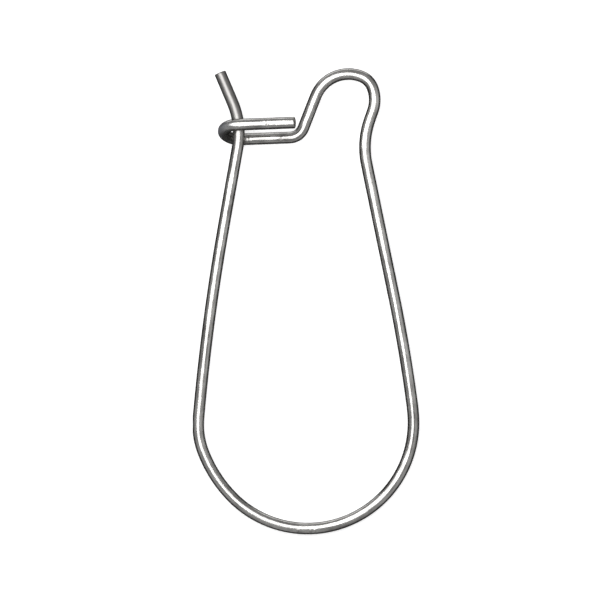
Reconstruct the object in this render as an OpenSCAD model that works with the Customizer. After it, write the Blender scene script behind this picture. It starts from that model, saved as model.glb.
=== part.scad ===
// Kidney ear wire: one length of round wire, bent into a loop with a hooked catch.
// The free leg passes through the hook, which holds the loop shut.
// The loop lies on its side: +Y is up the loop when worn, +Z is away from the surface.

/* [Wire] */
// Diameter of the round wire
wire_d = 0.8; // [0.6:0.05:0.9]
// Width of the small chamfer round each cut end
cut_chamfer = 0.08; // [0.02:0.01:0.15]

/* [Free leg] */
// Straight tip that goes through the ear first
tip_length = 2.2; // [1:0.1:4]
// Angle by which the tip leans out from the leg
tip_lean = 33; // [15:1:45]
// Straight upper stretch of the leg, through the catch
leg_straight = 5.5; // [3:0.1:8]
// Radius of the long bow in the lower leg
leg_bow_r = 150; // [100:5:400]

/* [Loop] */
// Bend radius where the leg turns into the bottom
corner_r = 5.2; // [4:0.1:7]
// Bend radius of the slacker stretch after that corner
cheek_r = 9; // [7:0.1:12]
// Bend radius of the round bottom, where the drop hangs
bottom_r = 7.2; // [6:0.1:8]
// Radius of the long bow in the rear leg
rear_bow_r = 105; // [80:5:300]
// Straight upper stretch of the rear leg
rear_straight = 9.1; // [7:0.1:11]

/* [Hump] */
// Bend radius of the waist below the hump
waist_r = 5.6; // [4:0.1:7]
// Bend radius on the rear side of the hump
hump_rear_r = 2.3; // [1.8:0.1:3]
// Bend radius of the tight shoulder of the hump
shoulder_r = 1.3; // [1:0.1:2]
// Bend radius over the top of the hump, which sits in the ear
hump_top_r = 2.4; // [1.8:0.1:3]
// Straight slope from the hump down to the catch
slope_length = 2.3; // [1.5:0.1:3]

/* [Catch] */
// Bend radius of the elbow where the slope turns into the catch
elbow_r = 1; // [0.8:0.05:1.3]
// Angle by which the catch dips behind the loop, so that the leg lies in front of it
catch_dip = 12; // [11:0.5:14]
// Straight lower strand, behind the leg
lower_strand = 3.4; // [3.3:0.05:4]
// Bend radius of the hairpin round the leg
hairpin_r = 1; // [0.98:0.01:1.2]
// Roll of the hairpin's plane, so that the front strand lies higher up the loop
hairpin_roll = 66; // [60:1:70]
// Straight front strand, in front of the leg
front_strand = 4.1; // [2:0.05:5]

/* [Rest] */
// Angle by which the catch props the loop up off the surface
prop_angle = 2.05; // [0:0.05:4]
// Direction of the line about which the loop leans, from +X
prop_heading = 48; // [0:1:90]

/* [Hidden] */
$fn = 64;

wire_r = wire_d / 2;
// Half length of the seam between two bends, and how far it stands proud of the wire
SEAM = 0.02;
SEAM_STEP = 0.002;
// Heading of the tip, pointing into the loop, from +X
tip_heading = -67;
// Heading of the slope where it meets the elbow, and of the lower strand
slope_heading = 248.7;
catch_heading = 182;

// The elbow turns the wire right and down at once: its bend, and the roll of its plane
elbow_bend = acos(cos(slope_heading - catch_heading) * cos(catch_dip));
elbow_roll = asin(sin(catch_dip) / sin(elbow_bend));

// Bending table, from the tip to the catch's free end. Each row feeds the wire straight, rolls
// the bend's plane about the wire, and bends it: left for a positive angle, right for a negative.
STRAIGHT = 1;
ROLL = 2;
RADIUS = 3;
BEND = 4;
BENDS = [
    // name, straight, roll, radius, bend
    ["tip", tip_length, 0, 5.4, -tip_lean],
    ["leg", leg_straight, 0, leg_bow_r, 5],
    ["corner", 0, 0, corner_r, 26],
    ["cheek", 0, 0, cheek_r, 23],
    ["bottom", 0, 0, bottom_r, 139.6],
    ["rise", 0, 0, 12, 4],
    ["rear leg", 0, 0, rear_bow_r, 4.1],
    ["waist", rear_straight, 0, waist_r, -31],
    ["hump rear", 0.65, 0, hump_rear_r, 41],
    ["shoulder", 0, 0, shoulder_r, 46.5],
    ["hump top", 0, 0, hump_top_r, 90.5],
    ["elbow", slope_length, elbow_roll, elbow_r, -elbow_bend],
    ["hairpin", lower_strand, -hairpin_roll, hairpin_r, -180],
];

// Rigid moves, written as matrices so that the same ones place the solids and find the box
function shift(v) = [[1, 0, 0, v.x], [0, 1, 0, v.y], [0, 0, 1, v.z], [0, 0, 0, 1]];
function about_y(a) = [[cos(a), 0, sin(a), 0], [0, 1, 0, 0], [-sin(a), 0, cos(a), 0], [0, 0, 0, 1]];
function about_z(a) = [[cos(a), -sin(a), 0, 0], [sin(a), cos(a), 0, 0], [0, 0, 1, 0], [0, 0, 0, 1]];

// From the start of a row to the start of its bend, and round part of that bend
function to_bend(row) = shift([0, row[STRAIGHT], 0]) * about_y(row[ROLL]);
function round_bend(row, part) =
    let (centre = [-sign(row[BEND]) * row[RADIUS], 0, 0])
    shift(centre) * about_z(part * row[BEND]) * shift(-centre);

// Places along the wire's axis from row i on, each a matrix whose Y is along the wire
PARTS = 40;
function places(at, i = 0) =
    i == len(BENDS)
        ? [at * shift([0, front_strand, 0])]
        : let (row = BENDS[i], bend = at * to_bend(row))
          concat(
              [at],
              [for (k = [0 : PARTS]) bend * round_bend(row, k / PARTS)],
              places(bend * round_bend(row, 1), i + 1)
          );

// Turn of the whole loop as it rests on the surface: prop_angle about prop_heading
function about_x(a) = [[1, 0, 0, 0], [0, cos(a), -sin(a), 0], [0, sin(a), cos(a), 0], [0, 0, 0, 1]];
resting = about_z(prop_heading) * about_x(prop_angle) * about_z(tip_heading - 90 - prop_heading);

// How far the wire's round section reaches from its axis along X, Y or Z, and the box that it fills
X = 0;
Y = 1;
Z = 2;
OFFSET = 3;
function reach(place, side) = wire_r * sqrt(1 - pow(place[side][Y], 2));
along = places(resting);
low = [for (side = [X, Y, Z]) min([for (p = along) p[side][OFFSET] - reach(p, side)])];
high = [for (side = [X, Y, Z]) max([for (p = along) p[side][OFFSET] + reach(p, side)])];
centred = shift([-(low.x + high.x) / 2, -(low.y + high.y) / 2, -low.z]);

// One straight feed of wire along +Y
module straight(length) {
    rotate([-90, 0, 0]) cylinder(h = length, r = wire_r);
}

// One bend, which starts at the origin along +Y
module bend(row) {
    side = row[BEND] > 0 ? 0 : 180;
    rotate([0, side, 0])
        translate([-row[RADIUS], 0, 0])
            rotate_extrude(angle = abs(row[BEND]), $fn = 180)
                translate([row[RADIUS], 0]) circle(r = wire_r);
}

// A seam, a hair wider than the wire, that joins one feed or bend to the next at the origin
module seam() {
    translate([0, -SEAM, 0]) rotate([-90, 0, 0]) cylinder(h = 2 * SEAM, r = wire_r + SEAM_STEP);
}

// A cut end, chamfered, which starts at the origin and closes off at length along +Y
module cut_end(length) {
    straight(length - cut_chamfer);
    translate([0, length - cut_chamfer, 0])
        rotate([-90, 0, 0]) cylinder(h = cut_chamfer, r1 = wire_r, r2 = wire_r - cut_chamfer);
}

// The wire from row i on, each row placed at the end of the one before
module wire_from(i) {
    if (i < len(BENDS)) {
        row = BENDS[i];
        if (i > 0 && row[STRAIGHT] > 0) straight(row[STRAIGHT]);
        multmatrix(to_bend(row)) {
            if (row[STRAIGHT] > 0) seam();
            bend(row);
            multmatrix(round_bend(row, 1)) {
                seam();
                wire_from(i + 1);
            }
        }
    } else {
        cut_end(front_strand);
    }
}

module ear_wire() {
    color("silver") multmatrix(centred * resting) {
        translate([0, tip_length, 0]) rotate([0, 0, 180]) cut_end(tip_length);
        wire_from(0);
    }
}

ear_wire();
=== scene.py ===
from collections import namedtuple
from math import acos, asin, ceil, cos, degrees, pi, radians, sin

import bpy
from mathutils import Matrix, Vector
from mathutils.kdtree import KDTree


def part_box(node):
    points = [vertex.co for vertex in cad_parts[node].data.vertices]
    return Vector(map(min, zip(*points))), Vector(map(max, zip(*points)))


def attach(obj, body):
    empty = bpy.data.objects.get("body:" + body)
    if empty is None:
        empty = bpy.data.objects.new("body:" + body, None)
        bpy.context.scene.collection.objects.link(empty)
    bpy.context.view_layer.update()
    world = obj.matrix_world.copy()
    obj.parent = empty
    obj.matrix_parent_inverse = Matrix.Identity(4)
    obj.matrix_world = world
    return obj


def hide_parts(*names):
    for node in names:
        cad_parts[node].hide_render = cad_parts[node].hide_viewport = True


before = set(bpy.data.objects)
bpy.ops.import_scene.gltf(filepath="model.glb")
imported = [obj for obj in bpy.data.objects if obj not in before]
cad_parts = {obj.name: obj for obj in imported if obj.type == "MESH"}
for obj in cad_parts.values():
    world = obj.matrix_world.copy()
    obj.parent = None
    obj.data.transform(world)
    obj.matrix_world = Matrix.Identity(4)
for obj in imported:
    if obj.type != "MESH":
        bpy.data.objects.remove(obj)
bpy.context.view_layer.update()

# The wire is bent in millimetres and degrees, and scaled to metres when it is placed
MM = 0.001
WIRE_R = 0.4
RIM = 0.08
RIM_SEGMENTS = 3

# Fineness of the mesh: points round the wire, and the longest step along it
SIDES = 40
STEP = 0.14

# The same bends as the solid's, from the tip to the catch's free end
TIP_LENGTH = 2.2
TIP_HEADING = -67.0
SLOPE_HEADING = 248.7
CATCH_HEADING = 182.0
CATCH_DIP = 12.0
HAIRPIN_ROLL = 66.0
FRONT_STRAND = 4.1

# The elbow turns the wire right and down at once: its bend, and the roll of its plane
ELBOW_BEND = degrees(acos(cos(radians(SLOPE_HEADING - CATCH_HEADING)) * cos(radians(CATCH_DIP))))
ELBOW_ROLL = degrees(asin(sin(radians(CATCH_DIP)) / sin(radians(ELBOW_BEND))))

# name, straight feed, roll of the bend's plane, bend radius, bend angle (left is positive)
BENDS = [
    ("tip", TIP_LENGTH, 0.0, 5.4, -33.0),
    ("leg", 5.5, 0.0, 150.0, 5.0),
    ("corner", 0.0, 0.0, 5.2, 26.0),
    ("cheek", 0.0, 0.0, 9.0, 23.0),
    ("bottom", 0.0, 0.0, 7.2, 139.6),
    ("rise", 0.0, 0.0, 12.0, 4.0),
    ("rear_leg", 0.0, 0.0, 105.0, 4.1),
    ("waist", 9.1, 0.0, 5.6, -31.0),
    ("hump_rear", 0.65, 0.0, 2.3, 41.0),
    ("shoulder", 0.0, 0.0, 1.3, 46.5),
    ("hump_top", 0.0, 0.0, 2.4, 90.5),
    ("elbow", 2.3, ELBOW_ROLL, 1.0, -ELBOW_BEND),
    ("hairpin", 3.4, -HAIRPIN_ROLL, 1.0, -180.0),
    ("front_strand", FRONT_STRAND, 0.0, 0.0, 0.0),
]

# The lean of the loop as it rests on its catch, and the direction of the line that it leans about
PROP_ANGLE = 2.05
PROP_HEADING = 48.0

# Marks that the pliers and use have left, as places along the wire from its tip
# name, along, half length, side of the wire that it is on, half width in degrees, depth
MARKS = [
    ("front_nick", 87.25, 0.09, (0.0, -0.1, 1.0), 42.0, 0.045),
    ("strand_bite_left", 81.54, 0.11, (0.0, 0.3, 1.0), 85.0, 0.040),
    ("strand_bite_right", 81.28, 0.09, (0.0, 0.1, 1.0), 80.0, 0.032),
    ("strand_scuff", 79.1, 0.16, (0.0, -0.3, 1.0), 45.0, 0.010),
    ("hump_nick", 73.9, 0.14, (0.3, -0.8, 1.0), 45.0, 0.035),
    ("bottom_dab_left", 35.05, 0.18, (0.0, -0.42, 1.0), 24.0, 0.012),
    ("bottom_dab_middle", 35.85, 0.10, (0.0, -0.30, 1.0), 30.0, 0.024),
    ("bottom_dab_right", 36.10, 0.08, (0.0, -0.38, 1.0), 24.0, 0.018),
    ("corner_flat", 24.35, 0.55, (-1.0, -0.3, 0.0), 80.0, 0.035),
]
# The rough patch round the outside of the hairpin, which also carries a painted bluish reflection: along,
# half length, side, half width in degrees
ROUGH_SHEEN_PATCH = (83.4, 1.9, (-1.0, 0.3, 0.7), 100.0)
# The tip is dull as far as the first place along the wire, and bright from the second
DULL_TO, BRIGHT_FROM = 3.0, 5.5

# Colours of the steel: between its drawn lines and on them, at its edges, dulled, and a painted light bluish
# reflection on the rough patch at the hairpin
DARK_STEEL = (0.33, 0.32, 0.31, 1.0)
BRIGHT_STEEL = (0.80, 0.79, 0.77, 1.0)
EDGE_TINT = (0.30, 0.29, 0.28, 1.0)
DULL_STEEL = (0.33, 0.32, 0.31, 1.0)
PAINTED_SHEEN_COLOUR = (0.78, 0.81, 0.88, 1.0)

# Soft panels of light: place, width and height in metres, and brightness
PANELS = [
    ("overhead", (-0.0165, 0.0150, 0.070), (0.072, 0.086), 2.4),
    ("right_side", (0.47, 0.03, 0.37), (0.34, 0.50), 0.24),
    ("back_card", (-0.05, 0.55, -0.22), (0.90, 0.34), 0.95),
]
FLOOR_SIZE = 1.2
FLOOR_COLOUR = (0.86, 0.86, 0.86, 1.0)
FLOOR_GLOW = 0.62
# Brightness of the room above the horizon and below it
ROOM_ABOVE, ROOM_BELOW = 0.30, 0.05

# The photograph's frame: its width on the object, and the middle of the view on the object
VIEW_WIDTH = 40.8 * MM
VIEW_MIDDLE = Vector((-0.413, 0.105, 0.8)) * MM
LENS = 250.0
SENSOR = 36.0


def deselect_all():
    for each in bpy.context.selected_objects:
        each.select_set(False)


# A straight feed or a bend: its first frame, with Y along the wire, the move from ring to ring, how
# many moves, its length, how far the wire has been rolled by then, and a bend's hub and turn
Stretch = namedtuple("Stretch", "start move steps length rolled hub turn")


def stretches():
    """The wire's straight feeds and bends, in order from the tip."""
    at = Matrix.Rotation(radians(TIP_HEADING - 90), 4, "Z")
    rolled = 0.0
    for name, feed, roll, radius, bend in BENDS:
        if feed:
            steps = ceil(feed / STEP)
            yield Stretch(at, Matrix.Translation((0, feed / steps, 0)), steps, feed, rolled, None, 0.0)
            at = at @ Matrix.Translation((0, feed, 0))
        if bend:
            turn = radians(bend)
            length = abs(turn) * radius
            steps = max(ceil(length / STEP), 4)
            hub = Matrix.Translation((-radius if bend > 0 else radius, 0, 0))
            move = hub @ Matrix.Rotation(turn / steps, 4, "Z") @ hub.inverted()
            at = at @ Matrix.Rotation(radians(roll), 4, "Y")
            rolled += radians(roll)
            yield Stretch(at, move, steps, length, rolled, (at @ hub).translation, turn)
            for _ in range(steps):
                at = at @ move


def bend_wire():
    """Feeds one circle straight on and spins it round each bend in turn, then closes both ends.

    Also gives the wire's stations: how far along each ring is, and its frame with the roll undone.
    """
    first = next(stretches()).start @ Matrix.Rotation(radians(-90), 4, "X")
    deselect_all()
    bpy.ops.mesh.primitive_circle_add(vertices=SIDES, radius=WIRE_R, rotation=first.to_euler())
    wire = bpy.context.object
    wire.name = "drawn_wire"
    bpy.ops.object.transform_apply(location=False, rotation=True, scale=False)
    bpy.ops.object.mode_set(mode="EDIT")
    bpy.ops.mesh.select_all(action="SELECT")
    stations = []
    along = 0.0
    for stretch in stretches():
        at = stretch.start
        level = Matrix.Rotation(-stretch.rolled, 4, "Y")
        ahead = at.to_3x3() @ stretch.move.translation
        if stretch.turn:
            upright = at.to_3x3() @ Vector((0, 0, 1))
            bpy.ops.mesh.spin(steps=stretch.steps, angle=-stretch.turn, center=stretch.hub, axis=upright)
        for _ in range(stretch.steps):
            if not stretch.turn:
                bpy.ops.mesh.extrude_region_move(TRANSFORM_OT_translate={"value": ahead})
            stations.append((along, at @ level))
            at = at @ stretch.move
            along += stretch.length / stretch.steps
    stations.append((along, at @ level))
    close_ends()
    bpy.ops.mesh.select_all(action="SELECT")
    bpy.ops.mesh.normals_make_consistent(inside=False)
    bpy.ops.object.mode_set(mode="OBJECT")
    return wire, stations


def close_ends():
    """Fills both open ends and rounds their rims, in edit mode."""
    bpy.ops.mesh.select_all(action="DESELECT")
    bpy.ops.mesh.select_mode(type="EDGE")
    bpy.ops.mesh.select_non_manifold()
    bpy.ops.mesh.edge_face_add()
    bpy.ops.object.mode_set(mode="OBJECT")
    mesh = bpy.context.object.data
    ends = [face for face in mesh.polygons if len(face.vertices) == SIDES]
    rims = {tuple(sorted(key)) for face in ends for key in face.edge_keys}
    for face in mesh.polygons:
        face.select = False
    for edge in mesh.edges:
        edge.select = tuple(sorted(edge.vertices)) in rims
    for point in mesh.vertices:
        point.select = False
    bpy.ops.object.mode_set(mode="EDIT")
    bpy.ops.mesh.bevel(offset=RIM, segments=RIM_SEGMENTS, affect="EDGES")


def straightened(wire, stations):
    """Each point's place on the wire before it was bent: along, across and up, in millimetres."""
    tree = KDTree(len(stations))
    for index, (_, at) in enumerate(stations):
        tree.insert(at.translation, index)
    tree.balance()
    places = []
    for point in wire.data.vertices:
        along, at = stations[tree.find(point.co)[1]]
        local = at.inverted() @ point.co
        places.append(Vector((along + local.y, local.x, local.z)))
    return places


def nearness(place, normal, along, half, side, spread):
    """How far a point is inside a mark: 1 at its middle, falling softly to 0 at its edge."""
    reach = abs(place.x - along) / half
    turn = degrees(normal.angle(Vector(side), pi)) / spread
    return (1 - reach ** 2) ** 2 * (1 - turn ** 2) ** 2 if reach < 1 and turn < 1 else 0.0


def press_marks(wire, places):
    """Presses each mark into the wire. Gives how worn each point is, and how far it lies in the rough patch
    with the painted reflection.
    """
    points = wire.data.vertices
    normals = [point.normal.copy() for point in points]
    worn = [0.0] * len(places)
    for name, along, half, side, spread, depth in MARKS:
        for index, place in enumerate(places):
            amount = nearness(place, normals[index], along, half, side, spread)
            points[index].co -= normals[index] * depth * amount
            worn[index] = max(worn[index], amount)
    # The rough patch at the hairpin, which is also the mask for a painted bluish reflection
    rough_sheen = [nearness(place, normal, *ROUGH_SHEEN_PATCH) for place, normal in zip(places, normals)]
    return worn, rough_sheen


def place_on_surface(wire):
    """Leans the loop as it rests, scales it to metres and sets it in the solid's own box."""
    heading = radians(PROP_HEADING)
    lean = Matrix.Rotation(radians(PROP_ANGLE), 4, Vector((cos(heading), sin(heading), 0)))
    wire.matrix_world = Matrix.Scale(MM, 4) @ lean
    deselect_all()
    wire.select_set(True)
    bpy.context.view_layer.objects.active = wire
    bpy.ops.object.transform_apply(location=False, rotation=True, scale=True)
    low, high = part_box("ear_wire")
    points = [v.co for v in wire.data.vertices]
    middle = [(min(p[k] for p in points) + max(p[k] for p in points)) / 2 for k in range(3)]
    wire.location = [(low[k] + high[k]) / 2 - middle[k] for k in range(3)]
    bpy.ops.object.transform_apply(location=True, rotation=False, scale=False)


def add(tree, kind, **settings):
    node = tree.nodes.new(kind)
    for key, value in settings.items():
        setattr(node, key, value)
    return node


def feed_in(tree, node, values):
    """Gives each of a node's inputs a constant or a link, by the input's name or number."""
    for key, value in values.items():
        if isinstance(value, bpy.types.NodeSocket):
            tree.links.new(value, node.inputs[key])
        else:
            node.inputs[key].default_value = value


def maths(tree, operation, *values, clamp=False):
    node = add(tree, "ShaderNodeMath", operation=operation, use_clamp=clamp)
    feed_in(tree, node, dict(enumerate(values)))
    return node.outputs[0]


def blend(tree, factor, first, second):
    """A mix of two colours."""
    node = add(tree, "ShaderNodeMix", data_type="RGBA")
    feed_in(tree, node, {"Factor": factor, "A": first, "B": second})
    return node.outputs["Result"]


def ranged(tree, value, from_low, from_high, to_low, to_high):
    """A value carried from one range to another and held at its ends."""
    node = add(tree, "ShaderNodeMapRange", clamp=True)
    feed_in(tree, node, {"Value": value, "From Min": from_low, "From Max": from_high,
                         "To Min": to_low, "To Max": to_high})
    return node.outputs[0]


def noise(tree, place, grains, detail, rough):
    """A noise with so many grains to the millimetre along, across and up."""
    mapping = add(tree, "ShaderNodeMapping")
    feed_in(tree, mapping, {"Vector": place, "Scale": grains})
    texture = add(tree, "ShaderNodeTexNoise")
    feed_in(tree, texture, {"Vector": mapping.outputs[0], "Scale": 1.0, "Detail": detail, "Roughness": rough})
    return texture.outputs["Fac"]


def drawn_lines():
    """Lines that the die leaves along a drawn wire, and patches where they are rubbed smooth."""
    group = bpy.data.node_groups.new("drawn_lines", "ShaderNodeTree")
    group.interface.new_socket("Place", in_out="INPUT", socket_type="NodeSocketVector")
    group.interface.new_socket("Lines", in_out="OUTPUT", socket_type="NodeSocketFloat")
    group.interface.new_socket("Patches", in_out="OUTPUT", socket_type="NodeSocketFloat")
    place = add(group, "NodeGroupInput").outputs["Place"]
    fine = noise(group, place, (0.25, 7.0, 7.0), 4.0, 0.65)
    broad = noise(group, place, (0.12, 3.5, 3.5), 2.0, 0.5)
    lines = maths(group, "MULTIPLY_ADD", fine, 0.65, maths(group, "MULTIPLY", broad, 0.35))
    patches = noise(group, place, (1.1, 1.6, 1.6), 3.0, 0.55)
    feed_in(group, add(group, "NodeGroupOutput"), {"Lines": lines, "Patches": patches})
    return group


def steel_colour(tree, lines, patches, painted_sheen, dullness):
    """Bright on the drawn lines and dark between them, then given a painted bluish reflection on the rough
    patch, and dulled.
    """
    ramp = add(tree, "ShaderNodeValToRGB")
    dark, bright = ramp.color_ramp.elements
    dark.position, dark.color = 0.36, DARK_STEEL
    bright.position, bright.color = 0.58, BRIGHT_STEEL
    share = maths(tree, "MULTIPLY_ADD", lines, 0.6, maths(tree, "MULTIPLY", patches, 0.4))
    feed_in(tree, ramp, {"Fac": share})
    # Painted reflection: a light bluish colour laid over the steel at the rough patch
    sheened = blend(tree, painted_sheen, ramp.outputs["Color"], PAINTED_SHEEN_COLOUR)
    return blend(tree, dullness, sheened, DULL_STEEL)


def steel_relief(tree, lines, grain, specks, worn, rough_sheen):
    """The drawn lines, fine specks, and a torn grain in the marks and the rough patch at the hairpin."""
    torn = maths(tree, "ADD", maths(tree, "MULTIPLY", worn, 2.2), maths(tree, "MULTIPLY", rough_sheen, 1.2))
    height = maths(tree, "ADD", lines, maths(tree, "MULTIPLY", grain, torn))
    height = maths(tree, "ADD", height, maths(tree, "MULTIPLY", specks, 0.25))
    bump = add(tree, "ShaderNodeBump")
    feed_in(tree, bump, {"Strength": 0.85, "Distance": 0.02 * MM, "Height": height})
    return bump.outputs["Normal"]


def drawn_steel():
    """Bright drawn steel, dull at the tip, torn where the pliers gripped it, and rough at the hairpin's
    outside, where a bluish reflection is painted on.
    """
    material = bpy.data.materials.new("drawn_steel")
    material.use_nodes = True
    tree = material.node_tree
    place = add(tree, "ShaderNodeAttribute", attribute_name="straightened").outputs["Vector"]
    worn = add(tree, "ShaderNodeAttribute", attribute_name="worn").outputs["Fac"]
    # Mask of the rough patch at the hairpin, which also carries the painted reflection
    rough_sheen = add(tree, "ShaderNodeAttribute", attribute_name="rough_sheen").outputs["Fac"]
    drawn = add(tree, "ShaderNodeGroup", node_tree=drawn_lines())
    feed_in(tree, drawn, {"Place": place})
    lines, patches = drawn.outputs["Lines"], drawn.outputs["Patches"]
    specks = noise(tree, place, (9.0, 11.0, 11.0), 2.0, 0.7)
    grain = noise(tree, place, (16.0, 16.0, 16.0), 3.0, 0.7)

    parts = add(tree, "ShaderNodeSeparateXYZ")
    feed_in(tree, parts, {"Vector": place})
    tip = ranged(tree, parts.outputs["X"], DULL_TO, BRIGHT_FROM, 1.0, 0.0)
    bitten = maths(tree, "MULTIPLY", worn, maths(tree, "MULTIPLY", grain, 1.7))
    dullness = maths(tree, "MULTIPLY", maths(tree, "MAXIMUM", tip, bitten), 0.85, clamp=True)
    # Painted reflection: light bluish mottling on the rough patch, standing in for light that falls on the
    # hairpin from the left
    painted_sheen = maths(tree, "MULTIPLY", rough_sheen, maths(tree, "MULTIPLY", specks, 2.2), clamp=True)

    rough = maths(tree, "MULTIPLY_ADD", patches, 0.16, 0.10)
    for wear, more in ((worn, 0.22), (rough_sheen, 0.48), (tip, 0.16)):
        rough = maths(tree, "MULTIPLY_ADD", wear, more, rough)

    feed_in(tree, tree.nodes["Principled BSDF"], {
        "Base Color": steel_colour(tree, lines, patches, painted_sheen, dullness),
        "Metallic": 1.0,
        "Roughness": rough,
        "Specular Tint": EDGE_TINT,
        "Normal": steel_relief(tree, lines, grain, specks, worn, rough_sheen),
    })
    return material


def keep_attribute(wire, name, kind, values):
    """Keeps a value for each point, which the steel reads."""
    layer = wire.data.attributes.new(name, kind, "POINT")
    field = "vector" if kind == "FLOAT_VECTOR" else "value"
    for item, value in zip(layer.data, values):
        setattr(item, field, value)


def make_wire():
    wire, stations = bend_wire()
    places = straightened(wire, stations)
    worn, rough_sheen = press_marks(wire, places)
    keep_attribute(wire, "straightened", "FLOAT_VECTOR", places)
    keep_attribute(wire, "worn", "FLOAT", worn)
    # Keeps the mask of the rough patch, which also carries the painted reflection
    keep_attribute(wire, "rough_sheen", "FLOAT", rough_sheen)
    place_on_surface(wire)
    bpy.ops.object.shade_smooth_by_angle(angle=radians(40))
    wire.data.materials.append(drawn_steel())
    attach(wire, "root")
    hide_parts("ear_wire")


def make_floor():
    """A pale floor that the steel doesn't mirror, so that its edges stay dark against it."""
    deselect_all()
    bpy.ops.mesh.primitive_plane_add(size=FLOOR_SIZE, location=(0, 0, 0))
    floor = bpy.context.object
    floor.name = "pale_floor"
    paint = bpy.data.materials.new("pale_floor")
    paint.use_nodes = True
    tree = paint.node_tree
    pale = tree.nodes["Principled BSDF"]
    feed_in(tree, pale, {
        "Base Color": FLOOR_COLOUR,
        "Roughness": 0.9,
        "Specular IOR Level": 0.1,
        "Emission Color": (1.0, 1.0, 1.0, 1.0),
        "Emission Strength": FLOOR_GLOW,
    })
    unseen = add(tree, "ShaderNodeBsdfTransparent")
    mirrored = add(tree, "ShaderNodeLightPath").outputs["Is Glossy Ray"]
    either = add(tree, "ShaderNodeMixShader")
    feed_in(tree, either, {0: mirrored, 1: pale.outputs[0], 2: unseen.outputs[0]})
    feed_in(tree, tree.nodes["Material Output"], {"Surface": either.outputs[0]})
    floor.data.materials.append(paint)


def make_panel(name, place, size, brightness):
    """A soft rectangular light that faces the object."""
    light = bpy.data.lights.new(name, "AREA")
    light.shape = "RECTANGLE"
    light.size, light.size_y = size
    light.energy = brightness * pi * size[0] * size[1]
    holder = bpy.data.objects.new(name, light)
    bpy.context.collection.objects.link(holder)
    holder.location = place
    holder.rotation_euler = Vector(place).to_track_quat("Z", "Y").to_euler()


def make_room():
    """A grey room, darker below the horizon."""
    world = bpy.data.worlds.new("studio")
    bpy.context.scene.world = world
    world.use_nodes = True
    tree = world.node_tree
    way = add(tree, "ShaderNodeSeparateXYZ")
    feed_in(tree, way, {"Vector": add(tree, "ShaderNodeTexCoord").outputs["Generated"]})
    grey = ranged(tree, way.outputs["Z"], -0.15, 0.10, ROOM_BELOW, ROOM_ABOVE)
    feed_in(tree, tree.nodes["Background"], {"Color": grey})
    bpy.context.scene.view_settings.view_transform = "Standard"
    bpy.context.scene.view_settings.look = "None"


def make_camera():
    """Looks straight down, as in the photograph."""
    camera = bpy.data.cameras.new("camera")
    camera.lens = LENS
    camera.sensor_width = SENSOR
    camera.clip_start = 0.01
    holder = bpy.data.objects.new("camera", camera)
    bpy.context.collection.objects.link(holder)
    holder.location = VIEW_MIDDLE + Vector((0, 0, VIEW_WIDTH * LENS / SENSOR))
    bpy.context.scene.camera = holder


make_wire()
make_floor()
for panel in PANELS:
    make_panel(*panel)
make_room()
make_camera()
